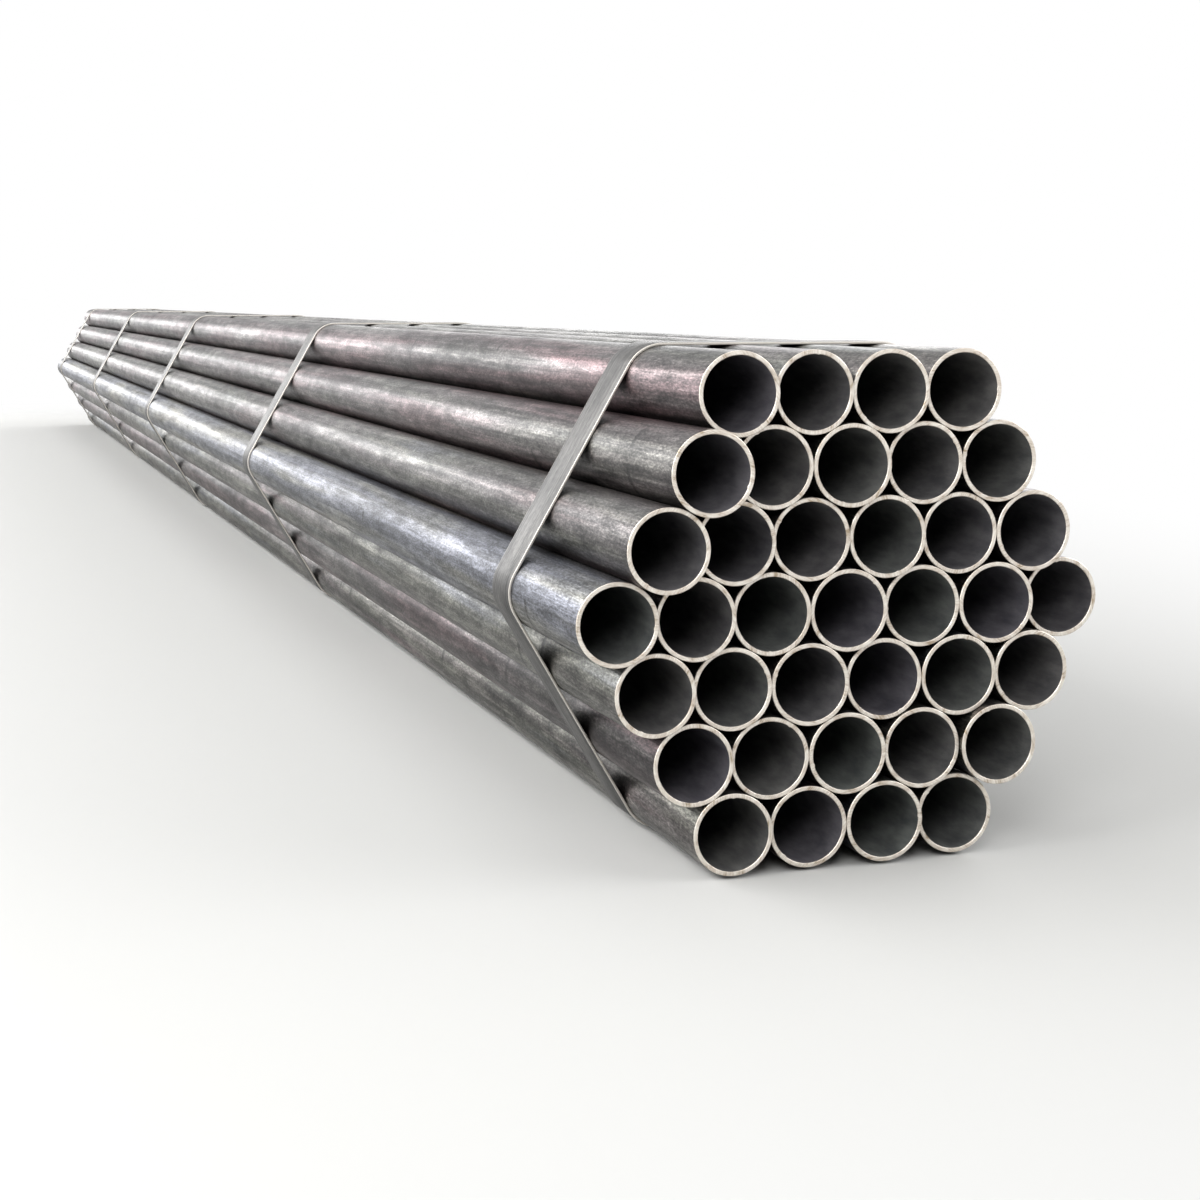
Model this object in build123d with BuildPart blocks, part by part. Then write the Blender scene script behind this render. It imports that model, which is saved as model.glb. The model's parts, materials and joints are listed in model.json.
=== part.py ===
from build123d import *
import os
from math import cos, radians, sin

# Bundle of welded steel pipes in stock length, nested in a regular hexagon and
# held by flat steel bands. Millimetres.
#
# X runs along the pipes, with the end that is looked at on the +X side. Y runs
# across the bundle and Z is up. The bundle lies on one flat side of its
# hexagon, and the origin is on the floor under its middle.

# One pipe
pipe_outside = 60.3
pipe_wall = 3.2
pipe_length = 6000.0

# The stack of pipes
pipes_per_side = 4
pipe_clearance = 0.2

# How far each end stands out towards +X. The plane that most ends are pushed to
# falls back by end_lean for each millimetre towards +Y, and they repeat a small
# ripple about it. The pipes named by row from the floor and place from the -Y side
# are off that plane and have their own figure.
end_lean = 0.07
end_ripple = (2.0, -1.0, 3.0, -2.0, 0.0, -3.0, 1.0)
ends_off_plane = {(7, 1): 14.0, (6, 1): 45.0, (5, 1): 41.0, (4, 1): 21.0, (4, 7): -22.0, (2, 5): 2.0}

# One band
strap_width = 50.0
strap_thickness = 2.0
strap_clearance = 0.1
strap_bend_radius = 12.0

# The lap where a band is closed on itself
lap_length = 90.0
lap_clearance = 0.1
lap_step_length = 16.0
weld_leg = 2.5

# Where the bands sit along the bundle
strap_count = 5
strap_inset = 190.0

# Sizes that follow from those above
pitch = pipe_outside + pipe_clearance
row_rise = pitch * sin(radians(60))
row_count = 2 * pipes_per_side - 1
corner_reach = pitch * (pipes_per_side - 1)
strap_radius = pipe_outside / 2 + strap_clearance + strap_thickness / 2
axis_height = row_rise * (pipes_per_side - 1) + strap_radius + strap_thickness / 2
lap_rise = strap_thickness + lap_clearance

# The step, the lap and its weld follow each other along one side of the
# bundle, centred on it and counted from its middle.
step_start = -(lap_step_length + lap_length + weld_leg) / 2
lap_start = step_start + lap_step_length
lap_end = lap_start + lap_length


def pipes_in_row(row):
    """Number of pipes in a row, counted from the floor."""
    from_middle = abs(row - pipes_per_side)
    return row_count - from_middle


def pipe_centre(row, place):
    """Y and Z of a pipe's axis."""
    across = (place - (pipes_in_row(row) + 1) / 2) * pitch
    up = axis_height + (row - pipes_per_side) * row_rise
    return across, up


pipe_places = [(row, place) for row in range(1, row_count + 1) for place in range(1, pipes_in_row(row) + 1)]

# Shift of each pipe along X
end_shifts = {}
for count, (row, place) in enumerate(pipe_places):
    across, _ = pipe_centre(row, place)
    in_plane = end_ripple[count % len(end_ripple)] - end_lean * across
    end_shifts[(row, place)] = ends_off_plane.get((row, place), in_plane)

# The shifts are taken about their own middle, so that the origin stays under
# the middle of the bundle.
middle_shift = (max(end_shifts.values()) + min(end_shifts.values())) / 2

os.makedirs("parts", exist_ok=True)


# Pipes: a ring drawn across the bundle and run out to the stock length, cut
# square at both ends.
for row, place in pipe_places:
    far_end = end_shifts[(row, place)] - middle_shift - pipe_length / 2
    with BuildPart() as pipe:
        with BuildSketch(Plane.YZ.offset(far_end)):
            with Locations(pipe_centre(row, place)):
                Circle(pipe_outside / 2)
                Circle(pipe_outside / 2 - pipe_wall, mode=Mode.SUBTRACT)
        extrude(amount=pipe_length)
    name = f"pipe_row{row}_{place}"
    pipe.part.label = name
    export_step(pipe.part, f"parts/{name}.step")


def corner(step):
    """Centre of a corner pipe, by sixths of a turn from the +Y corner."""
    turn = radians(60 * step)
    return corner_reach * cos(turn), axis_height + corner_reach * sin(turn)


def on_lap_side(along, off):
    """A point on the side of the bundle between its first two corners.

    along is counted from the middle of that side, and off from the middle of
    the band's thickness where it lies on the pipes.
    """
    turn = radians(30)
    reach = corner_reach * cos(turn) + strap_radius + off
    across = reach * cos(turn) - along * sin(turn)
    up = axis_height + reach * sin(turn) + along * cos(turn)
    return across, up


# Bands: flat strip run along one line, which starts under the lap, goes round
# all six corner pipes, steps up over its own start and ends on top of it. A
# fillet weld across the end joins it to the layer below.
strap_run = pipe_length - 2 * strap_inset
strap_spacing = strap_run / (strap_count - 1)
for index in range(strap_count):
    strap_middle = strap_run / 2 - index * strap_spacing
    with BuildPart() as strap:
        with BuildLine(Plane.YZ.offset(strap_middle)) as route:
            start = on_lap_side(lap_start, 0)
            for step in range(1, 7):
                bend = CenterArc(corner(step), strap_radius, 60 * step - 30, 60)
                Line(start, bend @ 0)
                start = bend @ 1
            FilletPolyline(
                start,
                on_lap_side(step_start, 0),
                on_lap_side(lap_start, lap_rise),
                on_lap_side(lap_end, lap_rise),
                radius=strap_bend_radius,
            )
        with BuildSketch(Plane(origin=route.line @ 0, x_dir=(1, 0, 0), z_dir=route.line % 0)):
            Rectangle(strap_width, strap_thickness)
        sweep()
        with BuildSketch(Plane.YZ.offset(strap_middle)):
            with BuildLine():
                Polyline(
                    on_lap_side(lap_end, strap_thickness / 2),
                    on_lap_side(lap_end + weld_leg, strap_thickness / 2),
                    on_lap_side(lap_end, strap_thickness / 2 + lap_rise),
                    close=True,
                )
            make_face()
        extrude(amount=strap_width / 2, both=True)
    name = f"strap_{index + 1}"
    strap.part.label = name
    export_step(strap.part, f"parts/{name}.step")
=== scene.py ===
import json
from math import cos, pi, radians, sin

import bpy
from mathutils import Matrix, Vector


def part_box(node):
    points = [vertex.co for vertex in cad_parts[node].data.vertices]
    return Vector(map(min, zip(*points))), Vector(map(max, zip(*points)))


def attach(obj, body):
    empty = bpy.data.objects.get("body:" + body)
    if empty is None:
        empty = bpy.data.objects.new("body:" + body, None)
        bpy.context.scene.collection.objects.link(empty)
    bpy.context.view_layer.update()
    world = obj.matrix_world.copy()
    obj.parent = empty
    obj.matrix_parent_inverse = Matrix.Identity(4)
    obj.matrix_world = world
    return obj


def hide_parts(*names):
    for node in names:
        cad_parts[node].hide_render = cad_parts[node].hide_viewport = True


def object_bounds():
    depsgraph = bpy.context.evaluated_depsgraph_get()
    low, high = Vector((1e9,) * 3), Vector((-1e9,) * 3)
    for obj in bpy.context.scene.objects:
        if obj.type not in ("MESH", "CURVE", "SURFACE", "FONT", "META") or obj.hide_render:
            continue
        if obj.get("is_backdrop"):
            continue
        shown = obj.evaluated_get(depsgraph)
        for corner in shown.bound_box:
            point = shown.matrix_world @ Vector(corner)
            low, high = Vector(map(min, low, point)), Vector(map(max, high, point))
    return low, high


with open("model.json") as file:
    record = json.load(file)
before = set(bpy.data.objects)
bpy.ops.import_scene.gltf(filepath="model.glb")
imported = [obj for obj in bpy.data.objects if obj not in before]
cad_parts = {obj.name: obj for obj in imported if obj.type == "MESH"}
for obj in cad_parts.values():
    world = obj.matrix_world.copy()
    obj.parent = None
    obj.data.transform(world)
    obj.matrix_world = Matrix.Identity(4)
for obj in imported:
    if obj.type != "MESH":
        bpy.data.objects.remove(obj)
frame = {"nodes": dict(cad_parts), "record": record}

# The CAD box is kept from here, before anything stands in for a CAD node.
cad_low, cad_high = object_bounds()
MM = 0.001


# Pipes
# Each is a length of longitudinally welded steel pipe, cold-formed from hot-rolled
# strip and sawn square to stock length. It still has its grey mill scale outside,
# a darker bore, and bright metal only where the saw has been.

pipe_nodes = sorted(name for name in frame["nodes"] if name.startswith("pipe_row"))
bore_mounts = [mount for mount in frame["record"]["mounts"] if mount["kind"] == "bore"]


def middle(node):
    """Middle of a CAD node's box."""
    low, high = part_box(node)
    return (low + high) / 2


first_low, first_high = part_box(pipe_nodes[0])
pipe_length = first_high.x - first_low.x
outside_radius = (first_high.y - first_low.y) / 2
wall = outside_radius - bore_mounts[0]["dims"]["r_mm"] * MM
edge_break = 0.45 * MM
edge_break_steps = 1
pipe_sides = 96
sharp_turn = radians(40)

weld_bead_height = 0.5 * MM
shaved_reach = 3 * MM
shaved_edge = 0.4 * MM
scorched_reach = 12 * MM

mark_spacing = 400 * MM
mark_half_width = 4.5 * MM
mark_sway = 8 * MM
most_spacings_moved = 40.0
saw_line_width = 1.2 * MM
saw_line_length = 12 * MM

# The patterns of two pipes in turn are read this far apart.
pattern_spacing = 4 * outside_radius


def colour(code):
    """A colour written as sRGB hex, turned to the linear values that shaders use."""
    shares = [int(code[place:place + 2], 16) / 255 for place in (1, 3, 5)]
    return [s / 12.92 if s <= 0.04045 else ((s + 0.055) / 1.055) ** 2.4 for s in shares] + [1.0]


def add(tree, kind, inputs=None, stops=None, **settings):
    """Adds a node with its settings and colour stops, then sets its inputs or links them."""
    made = tree.nodes.new(kind)
    for name, value in settings.items():
        setattr(made, name, value)
    for index, (place, code) in enumerate(stops or []):
        spots = made.color_ramp.elements
        spot = spots[index] if index < len(spots) else spots.new(place)
        spot.position, spot.color = place, colour(code)
    for key, value in (inputs or {}).items():
        source = value.outputs[0] if isinstance(value, bpy.types.Node) else value
        if isinstance(source, bpy.types.NodeSocket):
            tree.links.new(source, made.inputs[key])
        else:
            made.inputs[key].default_value = source
    return made


def new_material(name):
    """An empty node material and its tree."""
    made = bpy.data.materials.new(name)
    made.use_nodes = True
    made.node_tree.nodes.clear()
    return made, made.node_tree


# A Mix node that mixes colours takes its share and its two colours at these inputs,
# and gives the mixed colour at this output.
share_in, under_in, over_in, mixed_out = 0, 6, 7, 2


def pipe_place(tree):
    """A point on the pipe's own surface, the pipe's number, and that point moved aside by it.

    Patterns read the moved point, so that no two pipes are marked alike.
    """
    on_pipe = add(tree, "ShaderNodeAttribute", attribute_name="on_pipe").outputs["Vector"]
    number = add(tree, "ShaderNodeAttribute", attribute_name="pipe_number").outputs["Fac"]
    aside = add(tree, "ShaderNodeMath", {0: number, 1: pattern_spacing}, operation="MULTIPLY")
    offset = add(tree, "ShaderNodeCombineXYZ", {"Y": aside})
    return on_pipe, number, add(tree, "ShaderNodeVectorMath", {0: on_pipe, 1: offset})


def drawn_out(tree, place, width, length, **inputs):
    """A cloudy pattern whose marks are this wide round the piece and this long along it."""
    scaled = add(
        tree, "ShaderNodeVectorMath", {0: place, 1: (width / length, 1.0, 1.0)}, operation="MULTIPLY"
    )
    return add(tree, "ShaderNodeTexNoise", {"Vector": scaled, "Scale": 1 / width, **inputs})


def weighed(tree, patterns):
    """The sum of patterns, each with its share."""
    total = 0.0
    for pattern, share in patterns:
        total = add(tree, "ShaderNodeMath", {0: pattern, 1: share, 2: total}, operation="MULTIPLY_ADD")
    return total


def off_weld(tree, on_pipe):
    """Distance round the outside of a pipe from the middle of its weld, either way."""
    local = add(tree, "ShaderNodeSeparateXYZ", {0: on_pipe})
    turn = add(
        tree, "ShaderNodeMath", {0: local.outputs["Y"], 1: local.outputs["Z"]}, operation="ARCTAN2"
    )
    either_way = add(tree, "ShaderNodeMath", {0: turn}, operation="ABSOLUTE")
    return add(tree, "ShaderNodeMath", {0: either_way, 1: outside_radius}, operation="MULTIPLY")


def struck_marks(tree, on_pipe, place, own):
    """Short marks struck across a pipe by chains and other pipes, a few to each length."""
    local = add(tree, "ShaderNodeSeparateXYZ", {0: on_pipe})
    wave = drawn_out(tree, place, 20 * MM, 40 * MM, Detail=3.0)
    along = add(
        tree, "ShaderNodeMath", {0: wave, 1: mark_sway, 2: local.outputs["X"]}, operation="MULTIPLY_ADD"
    )
    spacings = add(tree, "ShaderNodeMath", {0: along, 1: mark_spacing}, operation="DIVIDE")
    moved = add(
        tree, "ShaderNodeMath", {0: own, 1: most_spacings_moved, 2: spacings}, operation="MULTIPLY_ADD"
    )
    nearest = add(tree, "ShaderNodeTexVoronoi", {"W": moved, "Scale": 1.0}, voronoi_dimensions="1D")
    mark_edge = mark_half_width / mark_spacing
    struck = add(
        tree, "ShaderNodeMapRange",
        {"Value": nearest, "From Min": 0.3 * mark_edge, "From Max": mark_edge,
         "To Min": 1.0, "To Max": 0.0},
    )
    reach = drawn_out(tree, place, 35 * MM, 350 * MM, Detail=1.0)
    part_way = add(tree, "ShaderNodeMapRange", {"Value": reach, "From Min": 0.5, "From Max": 0.54})
    return add(tree, "ShaderNodeMath", {0: struck, 1: part_way}, operation="MULTIPLY")


def mill_scale():
    """Mill scale on hot-rolled, cold-formed steel: a dark oxide with a dull metallic sheen.

    It shows as mottled and speckled greys, drawn out along the pipe by the forming rolls
    and rubbed brighter in places, with faint heat tints, a few marks struck across it and
    a plainer strip where the weld was shaved, dark with heat on either side. Some pipes
    are smoother than others. Oxide mirrors less than bare metal at a low angle, so its
    edge reflection is dulled. Real specks are finer, and these are coarse enough to show.
    """
    material, tree = new_material("Mill scale on welded steel")
    on_pipe, number, place = pipe_place(tree)
    own = add(tree, "ShaderNodeTexWhiteNoise", {"W": number}, noise_dimensions="1D")
    lines = drawn_out(tree, place, 1.8 * MM, 300 * MM, Detail=3.0, Roughness=0.6)
    streaks = drawn_out(tree, place, 6 * MM, 300 * MM, Detail=4.0, Roughness=0.6)
    mottle = drawn_out(tree, place, 11 * MM, 55 * MM, Detail=8.0, Roughness=0.72, Distortion=0.3)
    grain = drawn_out(tree, place, 1.6 * MM, 5.3 * MM, Detail=2.0, Roughness=0.7)
    patches = drawn_out(tree, place, 60 * MM, 400 * MM, Detail=3.0, Roughness=0.6)
    marks = struck_marks(tree, on_pipe, place, own)
    bare = weighed(tree, (
        (patches, 0.16), (mottle, 0.27), (streaks, 0.18), (lines, 0.12), (grain, 0.22), (own, 0.05),
        (marks, -0.1),
    ))
    greys = [
        (0.42, "#29292b"), (0.465, "#444444"), (0.505, "#605f5d"), (0.55, "#868380"), (0.61, "#b4b0ab"),
    ]
    grey = add(tree, "ShaderNodeValToRGB", {0: bare}, stops=greys)

    drift = drawn_out(tree, place, 24 * MM, 600 * MM, Detail=3.0)
    heat = weighed(tree, ((drift, 0.7), (own, 0.3)))
    tints = [
        (0.32, "#b38a91"), (0.42, "#a59b9c"), (0.5, "#a19d96"), (0.56, "#9e9f92"), (0.68, "#8b92a6"),
    ]
    tint = add(tree, "ShaderNodeValToRGB", {0: heat}, stops=tints)
    tinted = add(
        tree, "ShaderNodeMix", {share_in: 0.7, under_in: grey, over_in: tint},
        data_type="RGBA", blend_type="COLOR",
    )

    from_weld = off_weld(tree, on_pipe)
    scorched = add(
        tree, "ShaderNodeMapRange",
        {"Value": from_weld, "From Min": shaved_reach, "From Max": scorched_reach,
         "To Min": 0.45, "To Max": 0.0},
    )
    tinted = add(
        tree, "ShaderNodeMix",
        {share_in: scorched, under_in: tinted.outputs[mixed_out], over_in: colour("#6a5c60")},
        data_type="RGBA",
    )
    shaved = add(
        tree, "ShaderNodeMapRange",
        {"Value": from_weld, "From Min": shaved_reach - shaved_edge,
         "From Max": shaved_reach + shaved_edge, "To Min": 0.6, "To Max": 0.0},
    )
    tinted = add(
        tree, "ShaderNodeMix",
        {share_in: shaved, under_in: tinted.outputs[mixed_out], over_in: colour("#8d8987")},
        data_type="RGBA",
    )

    dull = weighed(tree, ((mottle, 0.5), (patches, 0.3), (grain, 0.2)))
    rough = add(
        tree, "ShaderNodeMapRange",
        {"Value": dull, "From Min": 0.38, "From Max": 0.62, "To Min": 0.42, "To Max": 0.27},
    )
    height = weighed(tree, ((mottle, 0.5), (grain, 0.25), (streaks, 0.25), (marks, -0.15)))
    relief = add(tree, "ShaderNodeMapRange", {"Value": own, "To Min": 0.25, "To Max": 0.7})
    bump = add(tree, "ShaderNodeBump", {"Height": height, "Strength": relief, "Distance": 1.0 * MM})
    surface = add(tree, "ShaderNodeBsdfPrincipled", {
        "Base Color": tinted.outputs[mixed_out],
        "Metallic": 0.95,
        "Roughness": rough,
        "Specular Tint": (0.7, 0.7, 0.7, 1.0),
        "Normal": bump,
    })
    add(tree, "ShaderNodeOutputMaterial", {"Surface": surface})
    return material


def bore_scale():
    """Unworn mill scale inside the pipe: matt, with a faint tint of its own in each pipe.

    It takes light only near the mouth, so it looks nearly black further in.
    """
    material, tree = new_material("Matt scale in the bore")
    _, number, place = pipe_place(tree)
    mottle = drawn_out(tree, place, 12 * MM, 40 * MM, Detail=5.0, Roughness=0.65)
    shade = add(tree, "ShaderNodeValToRGB", {0: mottle}, stops=[(0.35, "#4a494c"), (0.65, "#676564")])
    own = add(tree, "ShaderNodeTexWhiteNoise", {"W": number}, noise_dimensions="1D")
    tints = [(0.1, "#6c6877"), (0.5, "#6b6a68"), (0.9, "#66706a")]
    tint = add(tree, "ShaderNodeValToRGB", {0: own}, stops=tints)
    tinted = add(
        tree, "ShaderNodeMix", {share_in: 0.45, under_in: shade, over_in: tint},
        data_type="RGBA", blend_type="COLOR",
    )
    bump = add(tree, "ShaderNodeBump", {"Height": mottle, "Strength": 0.3, "Distance": 0.4 * MM})
    surface = add(tree, "ShaderNodeBsdfPrincipled", {
        "Base Color": tinted.outputs[mixed_out],
        "Roughness": 0.65,
        "Specular IOR Level": 0.25,
        "Normal": bump,
    })
    add(tree, "ShaderNodeOutputMaterial", {"Surface": surface})
    return material


def sawn_steel():
    """Bright steel where the pipe was sawn, pale and satin, with saw lines and rust freckles.

    The saw lines are drawn coarser than real ones, so that they show.
    """
    material, tree = new_material("Sawn steel")
    place = pipe_place(tree)[2]
    blotch = drawn_out(tree, place, 9 * MM, 9 * MM, Detail=3.0)
    across = (1.0, 1.0, saw_line_width / saw_line_length)
    sawn = add(tree, "ShaderNodeVectorMath", {0: place, 1: across}, operation="MULTIPLY")
    lines = add(tree, "ShaderNodeTexNoise", {"Vector": sawn, "Scale": 1 / saw_line_width, "Detail": 2.0})
    tone = weighed(tree, ((blotch, 0.6), (lines, 0.4)))
    creams = [(0.36, "#a69680"), (0.42, "#c9beb1"), (0.6, "#e6e0d6")]
    shade = add(tree, "ShaderNodeValToRGB", {0: tone}, stops=creams)
    bump = add(tree, "ShaderNodeBump", {"Height": lines, "Strength": 0.25, "Distance": 0.2 * MM})
    surface = add(tree, "ShaderNodeBsdfPrincipled", {
        "Base Color": shade,
        "Metallic": 0.7,
        "Roughness": 0.38,
        "Normal": bump,
    })
    add(tree, "ShaderNodeOutputMaterial", {"Surface": surface})
    return material


def new_tree(name, sockets):
    """A geometry node tree with its named inputs, and the nodes at its two ends."""
    tree = bpy.data.node_groups.new(name, "GeometryNodeTree")
    tree.interface.new_socket("Geometry", in_out="INPUT", socket_type="NodeSocketGeometry")
    for label, kind in sockets.items():
        tree.interface.new_socket(label, in_out="INPUT", socket_type="NodeSocket" + kind)
    tree.interface.new_socket("Geometry", in_out="OUTPUT", socket_type="NodeSocketGeometry")
    return tree, tree.nodes.new("NodeGroupInput").outputs, tree.nodes.new("NodeGroupOutput")


def shaded(tree, mesh):
    """Shades a mesh smooth, but for the edges where its faces turn sharply."""
    slope = add(tree, "GeometryNodeInputMeshEdgeAngle").outputs["Unsigned Angle"]
    is_sharp = add(tree, "FunctionNodeCompare", {"A": slope, "B": sharp_turn}, operation="GREATER_THAN")
    smooth = add(tree, "GeometryNodeSetShadeSmooth", {"Geometry": mesh, "Shade Smooth": True})
    return add(
        tree, "GeometryNodeSetShadeSmooth",
        {"Geometry": smooth, "Selection": is_sharp, "Shade Smooth": False}, domain="EDGE",
    )


def end_tree(tree, result, mesh, finish, others):
    """Ends a tree with the mesh made real, its finish, and other finishes on the faces chosen."""
    mesh = add(tree, "GeometryNodeRealizeInstances", {"Geometry": mesh})
    mesh = add(tree, "GeometryNodeSetMaterial", {"Geometry": mesh, "Material": finish})
    for chosen, other in others:
        mesh = add(
            tree, "GeometryNodeSetMaterial", {"Geometry": mesh, "Selection": chosen, "Material": other}
        )
    tree.links.new(mesh.outputs[0], result.inputs["Geometry"])


def grow(tree, name, mesh, values):
    """Runs a tree on a mesh with these values for its named inputs, and keeps the plain result."""
    piece = bpy.data.objects.new(name, mesh)
    bpy.context.scene.collection.objects.link(piece)
    modifier = piece.modifiers.new("Grow", "NODES")
    modifier.node_group = tree
    for item in tree.interface.items_tree:
        if item.in_out == "INPUT" and item.name in values:
            modifier[item.identifier] = values[item.name]
    depsgraph = bpy.context.evaluated_depsgraph_get()
    grown = bpy.data.meshes.new_from_object(
        piece.evaluated_get(depsgraph), preserve_all_data_layers=True, depsgraph=depsgraph
    )
    piece.modifiers.clear()
    piece.data = grown
    grown.name = name
    return piece


def pipe_tree(scale_finish, bore_finish, sawn_finish):
    """Turns the section of the wall round the axis, with the weld's bead standing in the bore."""
    tree, given, result = new_tree("Sawn length of welded pipe", {
        "Length": "Float", "Outside Radius": "Float", "Wall": "Float", "Edge Break": "Float",
        "Sides": "Int", "Bead Height": "Float", "Weld Turn": "Float", "Mouth": "Vector",
        "Number": "Float",
    })
    section = add(
        tree, "GeometryNodeCurvePrimitiveQuadrilateral",
        {"Width": given["Wall"], "Height": given["Length"]},
    )
    section = add(
        tree, "GeometryNodeFilletCurve",
        {"Curve": section, "Count": edge_break_steps, "Radius": given["Edge Break"]}, mode="POLY",
    )
    half_wall = add(tree, "ShaderNodeMath", {0: given["Wall"], 1: 0.5}, operation="MULTIPLY")
    wall_middle = add(
        tree, "ShaderNodeMath", {0: given["Outside Radius"], 1: half_wall}, operation="SUBTRACT"
    )
    ring = add(
        tree, "GeometryNodeCurvePrimitiveCircle",
        {"Resolution": given["Sides"], "Radius": wall_middle}, mode="RADIUS",
    )
    walled = add(tree, "GeometryNodeCurveToMesh", {"Curve": ring, "Profile Curve": section})
    half_length = add(tree, "ShaderNodeMath", {0: given["Length"], 1: -0.5}, operation="MULTIPLY")
    behind_mouth = add(tree, "ShaderNodeCombineXYZ", {"X": half_length})
    lying = add(
        tree, "GeometryNodeTransform",
        {"Geometry": walled, "Translation": behind_mouth, "Rotation": (0.0, -pi / 2, 0.0)},
    )
    position = add(tree, "GeometryNodeInputPosition")
    placed = add(
        tree, "GeometryNodeStoreNamedAttribute",
        {"Geometry": lying, "Name": "on_pipe", "Value": position},
        data_type="FLOAT_VECTOR", domain="POINT",
    )
    numbered = add(
        tree, "GeometryNodeStoreNamedAttribute",
        {"Geometry": placed, "Name": "pipe_number", "Value": given["Number"]},
        data_type="FLOAT", domain="POINT",
    )
    on_pipe = add(
        tree, "GeometryNodeInputNamedAttribute", {"Name": "on_pipe"}, data_type="FLOAT_VECTOR"
    )
    local = add(tree, "ShaderNodeSeparateXYZ", {0: on_pipe})
    across = add(tree, "ShaderNodeCombineXYZ", {"Y": local.outputs["Y"], "Z": local.outputs["Z"]})
    reach = add(tree, "ShaderNodeVectorMath", {0: across}, operation="LENGTH").outputs["Value"]
    is_bore = add(tree, "FunctionNodeCompare", {"A": reach, "B": wall_middle}, operation="LESS_THAN")
    half_facet = pi * outside_radius / pipe_sides
    on_weld = add(
        tree, "FunctionNodeCompare", {"A": off_weld(tree, on_pipe), "B": half_facet},
        operation="LESS_THAN",
    )
    on_bead = add(tree, "FunctionNodeBooleanMath", {0: is_bore, 1: on_weld}, operation="AND")
    inward = add(tree, "ShaderNodeMath", {0: given["Bead Height"], 1: -1.0}, operation="MULTIPLY")
    bead_offset = add(tree, "ShaderNodeCombineXYZ", {"Z": inward})
    beaded = add(
        tree, "GeometryNodeSetPosition",
        {"Geometry": numbered, "Selection": on_bead, "Offset": bead_offset},
    )
    weld_turn = add(tree, "ShaderNodeCombineXYZ", {"X": given["Weld Turn"]})
    stacked = add(
        tree, "GeometryNodeTransform",
        {"Geometry": shaded(tree, beaded), "Translation": given["Mouth"], "Rotation": weld_turn},
    )
    facing = add(tree, "ShaderNodeSeparateXYZ", {0: add(tree, "GeometryNodeInputNormal")})
    end_on = add(tree, "ShaderNodeMath", {0: facing.outputs["X"]}, operation="ABSOLUTE")
    least_end_on = 0.3
    is_sawn = add(
        tree, "FunctionNodeCompare", {"A": end_on, "B": least_end_on}, operation="GREATER_THAN"
    )
    end_tree(tree, result, stacked, scale_finish, ((is_bore, bore_finish), (is_sawn, sawn_finish)))
    return tree


welded_pipe = pipe_tree(mill_scale(), bore_scale(), sawn_steel())

# Each pipe is turned on from the one before by this angle, so that the welds of the
# stack face every way, as they do when pipes are rolled together.
weld_turn_step = radians(137.5)

for count, node in enumerate(pipe_nodes):
    low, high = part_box(node)
    pipe = grow(welded_pipe, node + "_steel", bpy.data.meshes.new(node), {
        "Length": pipe_length, "Outside Radius": outside_radius, "Wall": wall,
        "Edge Break": edge_break, "Sides": pipe_sides, "Bead Height": weld_bead_height,
        "Weld Turn": count * weld_turn_step, "Mouth": (high.x, middle(node).y, middle(node).z),
        "Number": float(count),
    })
    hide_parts(node)
    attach(pipe, "root")


# Bands
# Each is one length of cold-rolled strip steel, pulled tight round the six corner
# pipes, so that it bridges the valleys between the pipes of a side. It steps up
# over its own start, laps it and is welded across its end.

band_nodes = sorted(name for name in frame["nodes"] if name.startswith("strap_"))
band_low, band_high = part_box(band_nodes[0])
band_width = band_high.x - band_low.x
band_thickness = 2.0 * MM
strip_edge_round = 0.4 * MM
strip_edge_steps = 3
bright_edge_width = 0.9 * MM

bundle_corners = 6
side_turn = radians(360 / bundle_corners)
bundle_middle = middle("pipe_row4_4")
corner_pipe = middle("pipe_row4_7")
corner_reach = corner_pipe.y - bundle_middle.y
band_radius = band_high.y - corner_pipe.y - band_thickness / 2
bend_steps = 12

lap_length = 90 * MM
lap_clearance = 0.1 * MM
lap_step_length = 16 * MM
lap_bend_radius = 12 * MM
lap_rise = band_thickness + lap_clearance

weld_leg = 2.5 * MM
step_start = -(lap_step_length + lap_length + weld_leg) / 2
lap_start = step_start + lap_step_length
lap_end = lap_start + lap_length
bead_radius = 0.8 * weld_leg
bead_ripple = 2.4 * MM
bead_inset = 2 * MM
bead_along = lap_end + 0.6 * MM
bead_off = band_thickness / 2 + 0.5 * MM
bead_rings = 96
bead_sides = 10
scorch_reach = 22 * MM


def on_lap_side(x, along, off):
    """A point on the upper +Y side of the bundle, along it and off the band's middle."""
    turn = side_turn / 2
    reach = corner_reach * cos(turn) + band_radius + off
    return Vector((
        x,
        bundle_middle.y + reach * cos(turn) - along * sin(turn),
        bundle_middle.z + reach * sin(turn) + along * cos(turn),
    ))


def band_route(x):
    """Corners of the band's line, from its start under the lap to its end on top, with bend radii."""
    corner = corner_reach + band_radius / cos(side_turn / 2)
    points = [(on_lap_side(x, lap_start, 0), 0.0)]
    for count in range(1, bundle_corners + 1):
        turn = count * side_turn
        place = (x, bundle_middle.y + corner * cos(turn), bundle_middle.z + corner * sin(turn))
        points.append((Vector(place), band_radius))
    points.append((on_lap_side(x, step_start, 0), lap_bend_radius))
    points.append((on_lap_side(x, lap_start, lap_rise), lap_bend_radius))
    points.append((on_lap_side(x, lap_end, lap_rise), 0.0))
    return points


def line_mesh(name, points):
    """A mesh of edges through these points, each with the radius of its bend."""
    mesh = bpy.data.meshes.new(name)
    edges = [(start, start + 1) for start in range(len(points) - 1)]
    mesh.from_pydata([place for place, _ in points], edges, [])
    bends = mesh.attributes.new("bend", "FLOAT", "POINT")
    bends.data.foreach_set("value", [bend for _, bend in points])
    return mesh


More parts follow.
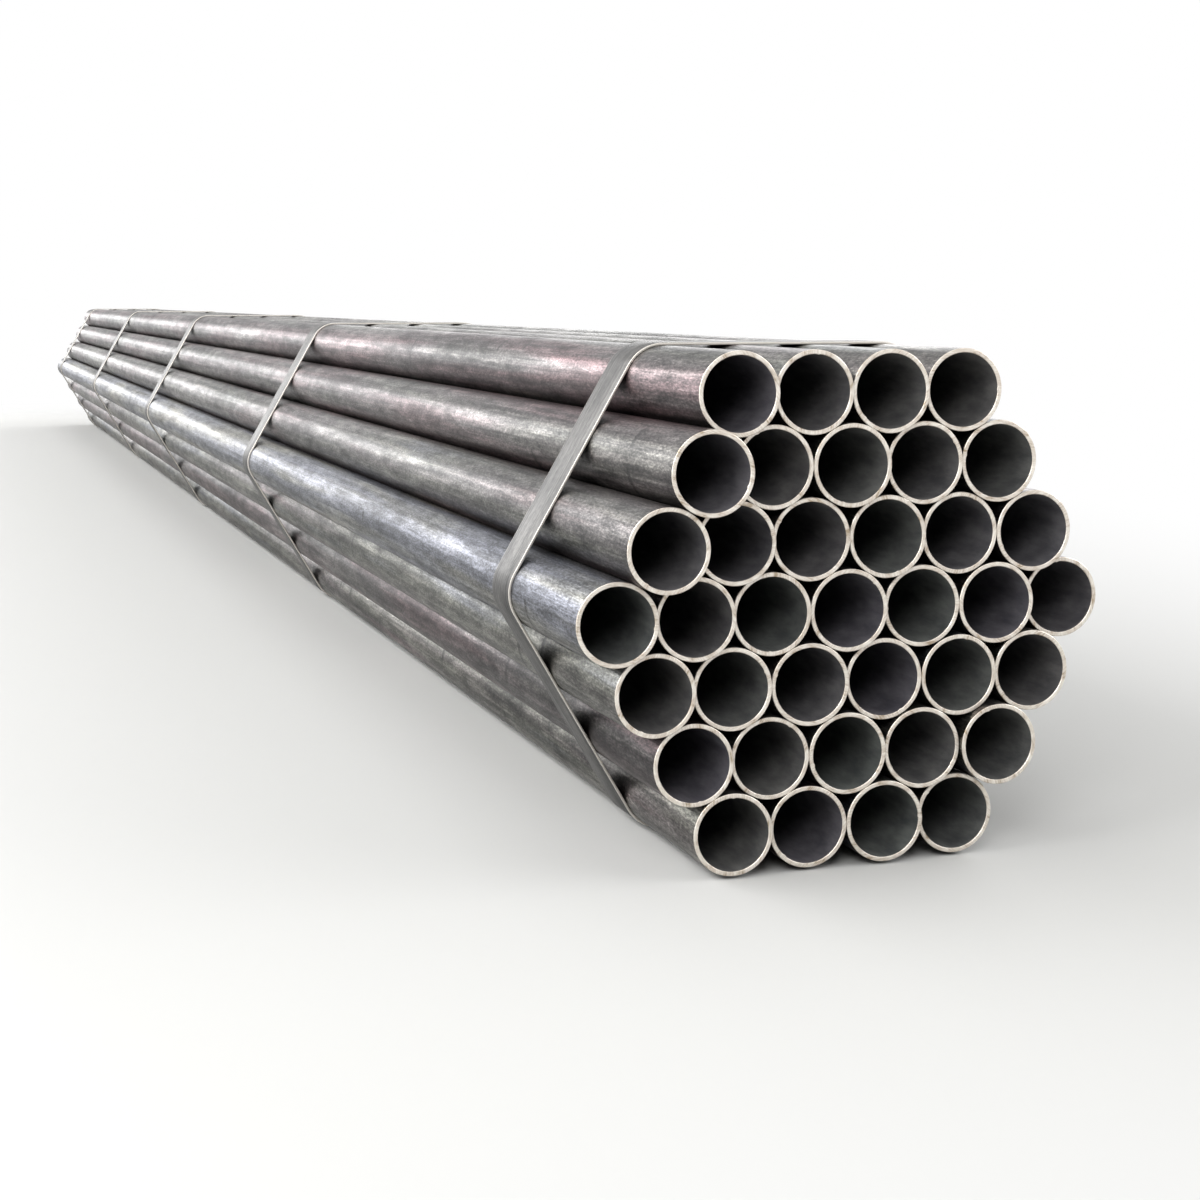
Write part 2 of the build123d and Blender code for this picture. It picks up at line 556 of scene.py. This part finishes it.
def strip_steel():
    """Cold-rolled strip steel: mid grey and satin, with lines drawn along it and a fine grain.

    Its sheared edges are bright. Straw and blue-grey heat colours spread from the weld
    across its lap.
    """
    material, tree = new_material("Cold-rolled strip steel")
    along = add(tree, "ShaderNodeAttribute", attribute_name="along_band").outputs["Fac"]
    across = add(tree, "ShaderNodeAttribute", attribute_name="across_band").outputs["Fac"]
    on_strip = add(tree, "ShaderNodeCombineXYZ", {"X": along, "Y": across})
    lines = drawn_out(tree, on_strip, 2.5 * MM, 125 * MM, Detail=4.0, Roughness=0.7)
    blotch = drawn_out(tree, on_strip, 25 * MM, 62.5 * MM, Detail=5.0, Roughness=0.65)
    grain = drawn_out(tree, on_strip, 1.2 * MM, 6 * MM, Detail=2.0, Roughness=0.7)
    tone = weighed(tree, ((lines, 0.4), (blotch, 0.3), (grain, 0.3)))
    greys = [(0.4, "#3b3b3b"), (0.5, "#565554"), (0.6, "#787673")]
    shade = add(tree, "ShaderNodeValToRGB", {0: tone}, stops=greys)
    from_middle = add(tree, "ShaderNodeMath", {0: across}, operation="ABSOLUTE")
    sheared = add(
        tree, "ShaderNodeMapRange",
        {"Value": from_middle, "From Min": band_width / 2 - bright_edge_width,
         "From Max": band_width / 2 - strip_edge_round / 2},
    )
    edged = add(
        tree, "ShaderNodeMix", {share_in: sheared, under_in: shade, over_in: colour("#d3cec6")},
        data_type="RGBA",
    )

    place = add(tree, "ShaderNodeTexCoord").outputs["Object"]
    weld = on_lap_side(0.0, bead_along, bead_off)
    away = add(tree, "ShaderNodeVectorMath", {0: place, 1: weld}, operation="SUBTRACT")
    away = add(tree, "ShaderNodeVectorMath", {0: away, 1: (0.0, 1.0, 1.0)}, operation="MULTIPLY")
    from_weld = add(tree, "ShaderNodeVectorMath", {0: away}, operation="LENGTH").outputs["Value"]
    cooler = add(tree, "ShaderNodeMapRange", {"Value": from_weld, "From Max": scorch_reach})
    heat_colours = [(0.15, "#3d4048"), (0.35, "#4d4a56"), (0.55, "#6f6052"), (0.8, "#8a8074")]
    scorch = add(tree, "ShaderNodeValToRGB", {0: cooler}, stops=heat_colours)
    unscorched = add(tree, "ShaderNodeMath", {0: cooler, 1: 2.0}, operation="POWER")
    scorched = add(
        tree, "ShaderNodeMix",
        {share_in: unscorched, under_in: scorch, over_in: edged.outputs[mixed_out]},
        data_type="RGBA",
    )

    rough = add(
        tree, "ShaderNodeMapRange",
        {"Value": tone, "From Min": 0.35, "From Max": 0.65, "To Min": 0.5, "To Max": 0.32},
    )
    bump = add(tree, "ShaderNodeBump", {"Height": tone, "Strength": 0.25, "Distance": 0.2 * MM})
    surface = add(tree, "ShaderNodeBsdfPrincipled", {
        "Base Color": scorched.outputs[mixed_out],
        "Metallic": 0.75,
        "Roughness": rough,
        "Specular Tint": (0.6, 0.6, 0.6, 1.0),
        "Normal": bump,
    })
    add(tree, "ShaderNodeOutputMaterial", {"Surface": surface})
    return material


def weld_metal():
    """Weld metal laid by hand: rippled, rough and dark with oxide, brighter on its crests."""
    material, tree = new_material("Rippled weld metal")
    place = add(tree, "ShaderNodeTexCoord").outputs["Object"]
    crust = drawn_out(tree, place, 2 * MM, 2 * MM, Detail=4.0, Roughness=0.7)
    greys = [(0.35, "#38383b"), (0.5, "#6b6865"), (0.64, "#a8a197")]
    shade = add(tree, "ShaderNodeValToRGB", {0: crust}, stops=greys)
    bump = add(tree, "ShaderNodeBump", {"Height": crust, "Strength": 0.4, "Distance": 0.4 * MM})
    surface = add(tree, "ShaderNodeBsdfPrincipled", {
        "Base Color": shade,
        "Metallic": 0.8,
        "Roughness": 0.42,
        "Normal": bump,
    })
    add(tree, "ShaderNodeOutputMaterial", {"Surface": surface})
    return material


def band_tree(finish, weld_finish):
    """Rounds a line's corners, runs the strip's section along it and lays the lap's weld bead."""
    tree, given, result = new_tree("Band bent round the bundle", {
        "Width": "Float", "Thickness": "Float", "Edge Round": "Float", "Bend Steps": "Int",
        "Weld Start": "Vector", "Weld End": "Vector", "Bead Radius": "Float", "Ripple": "Float",
        "Bead Rings": "Int", "Bead Sides": "Int",
    })
    line = add(tree, "GeometryNodeMeshToCurve", {"Mesh": given["Geometry"]})
    bend = add(tree, "GeometryNodeInputNamedAttribute", {"Name": "bend"}, data_type="FLOAT")
    bent = add(
        tree, "GeometryNodeFilletCurve",
        {"Curve": line, "Count": given["Bend Steps"], "Radius": bend}, mode="POLY",
    )
    travelled = add(tree, "GeometryNodeSplineParameter").outputs["Length"]
    measured = add(
        tree, "GeometryNodeStoreNamedAttribute",
        {"Geometry": bent, "Name": "along_band", "Value": travelled},
        data_type="FLOAT", domain="POINT",
    )
    section = add(
        tree, "GeometryNodeCurvePrimitiveQuadrilateral",
        {"Width": given["Width"], "Height": given["Thickness"]},
    )
    section = add(
        tree, "GeometryNodeFilletCurve",
        {"Curve": section, "Count": strip_edge_steps, "Radius": given["Edge Round"]}, mode="POLY",
    )
    on_section = add(tree, "ShaderNodeSeparateXYZ", {0: add(tree, "GeometryNodeInputPosition")})
    section = add(
        tree, "GeometryNodeStoreNamedAttribute",
        {"Geometry": section, "Name": "across_band", "Value": on_section.outputs["X"]},
        data_type="FLOAT", domain="POINT",
    )
    strip = add(
        tree, "GeometryNodeCurveToMesh",
        {"Curve": measured, "Profile Curve": section, "Fill Caps": True},
    )

    weld_line = add(
        tree, "GeometryNodeCurvePrimitiveLine", {"Start": given["Weld Start"], "End": given["Weld End"]}
    )
    weld_line = add(
        tree, "GeometryNodeResampleCurve", {"Curve": weld_line, "Count": given["Bead Rings"]}
    )
    ripples = add(tree, "ShaderNodeMath", {0: travelled, 1: given["Ripple"]}, operation="DIVIDE")
    half_turns = add(tree, "ShaderNodeMath", {0: ripples, 1: pi}, operation="MULTIPLY")
    wave = add(tree, "ShaderNodeMath", {0: half_turns}, operation="SINE")
    crest = add(tree, "ShaderNodeMath", {0: wave}, operation="ABSOLUTE")
    fullness = add(tree, "ShaderNodeMapRange", {"Value": crest, "To Min": 0.8, "To Max": 1.0})
    swollen = add(tree, "GeometryNodeSetCurveRadius", {"Curve": weld_line, "Radius": fullness})
    ring = add(
        tree, "GeometryNodeCurvePrimitiveCircle",
        {"Resolution": given["Bead Sides"], "Radius": given["Bead Radius"]}, mode="RADIUS",
    )
    bead = add(
        tree, "GeometryNodeCurveToMesh", {"Curve": swollen, "Profile Curve": ring, "Fill Caps": True}
    )
    bead = add(
        tree, "GeometryNodeStoreNamedAttribute", {"Geometry": bead, "Name": "is_weld", "Value": True},
        data_type="BOOLEAN", domain="FACE",
    )
    joined = add(tree, "GeometryNodeJoinGeometry", {0: strip})
    tree.links.new(bead.outputs[0], joined.inputs[0])
    is_weld = add(tree, "GeometryNodeInputNamedAttribute", {"Name": "is_weld"}, data_type="BOOLEAN")
    end_tree(tree, result, shaded(tree, joined), finish, ((is_weld, weld_finish),))
    return tree


bent_band = band_tree(strip_steel(), weld_metal())
half_bead = Vector((band_width / 2 - bead_inset, 0.0, 0.0))

for node in band_nodes:
    x = middle(node).x
    bead_middle = on_lap_side(x, bead_along, bead_off)
    band = grow(bent_band, node + "_strip", line_mesh(node, band_route(x)), {
        "Width": band_width, "Thickness": band_thickness, "Edge Round": strip_edge_round,
        "Bend Steps": bend_steps, "Weld Start": bead_middle - half_bead,
        "Weld End": bead_middle + half_bead, "Bead Radius": bead_radius, "Ripple": bead_ripple,
        "Bead Rings": bead_rings, "Bead Sides": bead_sides,
    })
    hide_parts(node)
    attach(band, "root")


# Floor
# It is a plain pale floor that fades to white away from the bundle, where the
# backdrop takes over.

floor_reach = 40.0
floor_gap = 0.5 * MM
fade_start = 0.1
fade_end = 1.5
backdrop_ways = ("Camera", "Glossy", "Transmission")


def pale_floor():
    """Pale matt paint near the bundle, blending to the white of the backdrop for the camera."""
    material, tree = new_material("Pale matt floor")
    paint = add(tree, "ShaderNodeBsdfPrincipled", {
        "Base Color": colour("#cbcbc9"),
        "Roughness": 0.9,
        "Specular IOR Level": 0.1,
    })
    white = add(tree, "ShaderNodeEmission", {"Color": (1.0, 1.0, 1.0, 1.0), "Strength": 1.0})
    place = add(tree, "ShaderNodeTexCoord").outputs["Object"]
    distances = add(tree, "ShaderNodeVectorMath", {0: place}, operation="ABSOLUTE")
    past_ends = add(
        tree, "ShaderNodeVectorMath", {0: distances, 1: (cad_high.x, cad_high.y, 0.0)},
        operation="SUBTRACT",
    )
    outside = add(
        tree, "ShaderNodeVectorMath", {0: past_ends, 1: (0.0, 0.0, 0.0)}, operation="MAXIMUM"
    )
    away = add(tree, "ShaderNodeVectorMath", {0: outside}, operation="LENGTH").outputs["Value"]
    fade = add(
        tree, "ShaderNodeMapRange",
        {"Value": away, "From Min": fade_start, "From Max": fade_end}, interpolation_type="SMOOTHSTEP",
    )
    path = add(tree, "ShaderNodeLightPath")
    seen = weighed(tree, [(path.outputs["Is " + way + " Ray"], 1.0) for way in backdrop_ways])
    share = add(tree, "ShaderNodeMath", {0: fade, 1: seen}, operation="MULTIPLY")
    mixed = add(tree, "ShaderNodeMixShader", {0: share, 1: paint, 2: white})
    add(tree, "ShaderNodeOutputMaterial", {"Surface": mixed})
    return material


floor_mesh = bpy.data.meshes.new("floor")
floor_corners = [
    (x * floor_reach, y * floor_reach, -floor_gap) for x, y in ((-1, -1), (1, -1), (1, 1), (-1, 1))
]
floor_mesh.from_pydata(floor_corners, [], [(0, 1, 2, 3)])
floor_mesh.materials.append(pale_floor())
floor = bpy.data.objects.new("floor", floor_mesh)
bpy.context.scene.collection.objects.link(floor)
floor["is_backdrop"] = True


# Light
# Long strip lights lie beside and above the bundle. They reach far past its far end,
# where its sides mirror them to the camera, and a square one lights the near mouths.
# The backdrop is white for whatever sees it directly and dim otherwise.

past_far_end = -10.5
near_far_end = -4.0
backdrop_fill = 0.15


def beside(along, elevation, distance):
    """A point this far from the bundle's axis, at this angle above its -Y side."""
    turn = radians(elevation)
    return Vector((along, -distance * cos(turn), bundle_middle.z + distance * sin(turn)))


def soft_box(name, place, target, width, length, power):
    """An area light that looks at a point."""
    lamp = bpy.data.lights.new(name, "AREA")
    lamp.shape = "RECTANGLE"
    lamp.size = length
    lamp.size_y = width
    lamp.energy = power
    holder = bpy.data.objects.new(name, lamp)
    holder.location = place
    holder.rotation_euler = (target - place).to_track_quat("-Z", "Y").to_euler()
    holder.visible_camera = False
    bpy.context.scene.collection.objects.link(holder)


# Places, distances and sizes are in metres, elevations in degrees and powers in watts.
for name, along, elevation, distance, width, length, power in (
    ("key", past_far_end, 35, 1.7, 0.8, 29.0, 335.0),
    ("low", past_far_end, 8, 1.7, 0.4, 29.0, 75.0),
    ("overhead", near_far_end, 85, 2.32, 1.4, 20.0, 60.0),
    ("fill", near_far_end, 148, 2.6, 1.0, 20.0, 260.0),
):
    on_axis = beside(along, 0, 0)
    soft_box(name, beside(along, elevation, distance), on_axis, width, length, power)

front_place = Vector((5.2, -1.15, 1.8))
front_target = Vector((cad_high.x, 0.0, 0.2))
front_side = 1.2
front_power = 42.0
soft_box("front", front_place, front_target, front_side, front_side, front_power)

world = bpy.data.worlds.new("White backdrop")
bpy.context.scene.world = world
world.use_nodes = True
world.node_tree.nodes.clear()
path = add(world.node_tree, "ShaderNodeLightPath")
direct = weighed(world.node_tree, [(path.outputs["Is " + way + " Ray"], 1.0) for way in backdrop_ways])
strength = add(
    world.node_tree, "ShaderNodeMapRange", {"Value": direct, "To Min": backdrop_fill, "To Max": 1.0}
)
backdrop = add(
    world.node_tree, "ShaderNodeBackground", {"Color": (1.0, 1.0, 1.0, 1.0), "Strength": strength}
)
add(world.node_tree, "ShaderNodeOutputWorld", {"Surface": backdrop})


# Camera
# It stands where the photograph's camera stood beside the near end, a little above
# the bundle's axis, and is turned and zoomed so that the whole length is in the frame.

near_end = cad_high.x
camera_ahead = 1.403
camera_aside = 0.631
camera_above_axis = 0.223
look_at = Vector((2.374, 0.0, 0.1165))

camera_data = bpy.data.cameras.new("camera")
camera_data.lens = 66.0
camera_data.sensor_width = 36.0
camera = bpy.data.objects.new("camera", camera_data)
camera.location = (near_end + camera_ahead, -camera_aside, bundle_middle.z + camera_above_axis)
camera.rotation_euler = (look_at - camera.location).to_track_quat("-Z", "Y").to_euler()
bpy.context.scene.collection.objects.link(camera)
bpy.context.scene.camera = camera
bpy.context.scene.view_settings.view_transform = "Standard"

low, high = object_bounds()
